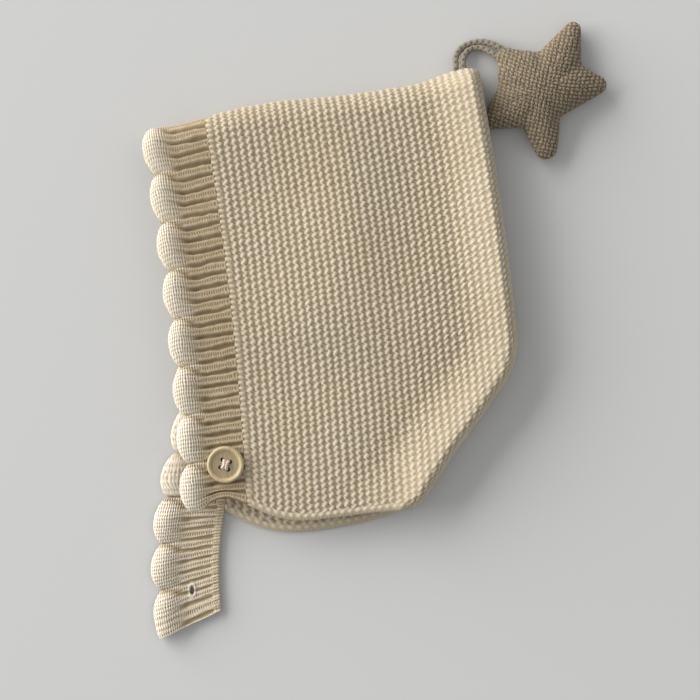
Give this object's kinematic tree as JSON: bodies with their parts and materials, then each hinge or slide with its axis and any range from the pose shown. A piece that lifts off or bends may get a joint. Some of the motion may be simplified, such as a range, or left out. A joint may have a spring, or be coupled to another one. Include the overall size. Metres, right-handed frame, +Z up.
{
  "type": "baby bonnet",
  "caption": "Garter-knit baby bonnet lying on its side, with a ribbed scalloped trim that runs on as a chin strap, a button, and a stuffed star hanging on a cord from its tip.",
  "frame": {"origin": "on the table that it lies on, under the middle of its outline seen from above", "axes": "+Z up from the table, +Y towards the fold over the crown, +X towards the back seam, the face opening at -X and the neck at -Y"},
  "size_m": [0.2084, 0.278, 0.0204],
  "materials": {
    "ecru_knit": "garter-stitch wool, matt and slightly fuzzy",
    "ecru_ribbing": "fine ribbed wool, matt",
    "button_resin": "satin, the colour of pale wood",
    "sewing_thread": "matt cotton thread",
    "taupe_knit": "basket-weave knit, matt",
    "taupe_cord": "braided yarn, matt"
  },
  "bodies": {
    "root": {"hood": "ecru_knit", "face_trim": "ecru_ribbing", "chin_strap": "ecru_ribbing", "button": "button_resin", "button_thread": "sewing_thread", "star": "taupe_knit", "star_cord": "taupe_cord"}
  },
  "joints": []
}
